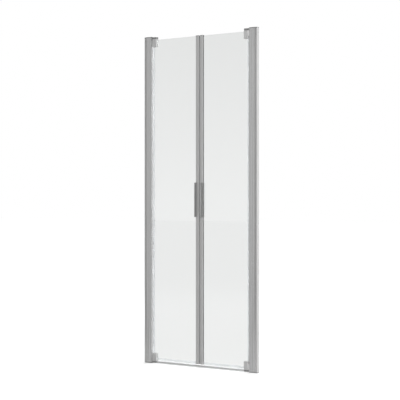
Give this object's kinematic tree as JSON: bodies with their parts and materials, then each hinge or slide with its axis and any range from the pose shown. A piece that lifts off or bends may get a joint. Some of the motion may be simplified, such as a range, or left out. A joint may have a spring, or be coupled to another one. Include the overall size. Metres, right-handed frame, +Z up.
{
  "type": "double pivot shower door",
  "caption": "Glass shower door in a doorway-wide frame, whose leaves pivot at their outer edges and swing both ways, closed by magnetic seals.",
  "frame": {"origin": "middle of the doorway at floor level, in the plane of the glass", "axes": "+X along the closed door to the right as seen from outside, +Y into the shower, +Z up"},
  "size_m": [0.8, 0.047, 1.95],
  "materials": {
    "satin_aluminium": "satin anodised",
    "dark_aluminium": "dark satin anodised",
    "grey_plastic": "fine matt moulded",
    "clear_glass": "polished clear",
    "clear_pvc": "translucent extruded",
    "grey_pvc": "translucent extruded",
    "magnet_rubber": "matt",
    "black_rubber": "matt",
    "stainless_steel": "brushed",
    "white_nylon": "moulded"
  },
  "bodies": {
    "frame": {"left_wall_channel": "satin_aluminium", "right_wall_channel": "satin_aluminium", "channel_end_caps": "grey_plastic", "left_wall_profile": "satin_aluminium", "right_wall_profile": "satin_aluminium", "left_top_end_cap": "grey_plastic", "left_bottom_end_cap": "grey_plastic", "right_top_end_cap": "grey_plastic", "right_bottom_end_cap": "grey_plastic", "left_top_pivot_arm": "dark_aluminium", "left_bottom_pivot_arm": "dark_aluminium", "right_top_pivot_arm": "dark_aluminium", "right_bottom_pivot_arm": "dark_aluminium", "pivot_pins": "stainless_steel", "arm_screws": "stainless_steel", "end_cap_screws": "stainless_steel", "profile_lock_screws": "stainless_steel", "lock_screw_covers": "grey_plastic", "threshold_rail": "dark_aluminium", "threshold_base_seal": "clear_pvc"},
    "left_leaf": {"left_glass": "clear_glass", "left_top_block_front": "satin_aluminium", "left_top_block_back": "satin_aluminium", "left_bottom_block_front": "satin_aluminium", "left_bottom_block_back": "satin_aluminium", "left_block_pads": "black_rubber", "left_block_screws": "stainless_steel", "left_pivot_bushes": "white_nylon", "left_stile": "satin_aluminium", "left_stile_gasket": "black_rubber", "left_stile_caps": "grey_plastic", "left_magnetic_seal": "grey_pvc", "left_magnet_strip": "magnet_rubber", "left_outside_handle": "dark_aluminium", "left_inside_handle": "dark_aluminium", "left_handle_screws": "stainless_steel", "left_side_seal": "clear_pvc", "left_drip_seal": "clear_pvc"},
    "right_leaf": {"right_glass": "clear_glass", "right_top_block_front": "satin_aluminium", "right_top_block_back": "satin_aluminium", "right_bottom_block_front": "satin_aluminium", "right_bottom_block_back": "satin_aluminium", "right_block_pads": "black_rubber", "right_block_screws": "stainless_steel", "right_pivot_bushes": "white_nylon", "right_stile": "satin_aluminium", "right_stile_gasket": "black_rubber", "right_stile_caps": "grey_plastic", "right_magnetic_seal": "grey_pvc", "right_magnet_strip": "magnet_rubber", "right_outside_handle": "dark_aluminium", "right_inside_handle": "dark_aluminium", "right_handle_screws": "stainless_steel", "right_side_seal": "clear_pvc", "right_drip_seal": "clear_pvc"}
  },
  "joints": [
    {"name": "left_leaf_swing", "type": "hinge", "parent": "frame", "child": "left_leaf", "pos_m": [-0.325, 0, 0], "axis": [0, 0, 1], "range_deg": [-90, 90]},
    {"name": "right_leaf_swing", "type": "hinge", "parent": "frame", "child": "right_leaf", "pos_m": [0.325, 0, 0], "axis": [0, 0, 1], "range_deg": [-90, 90]}
  ]
}
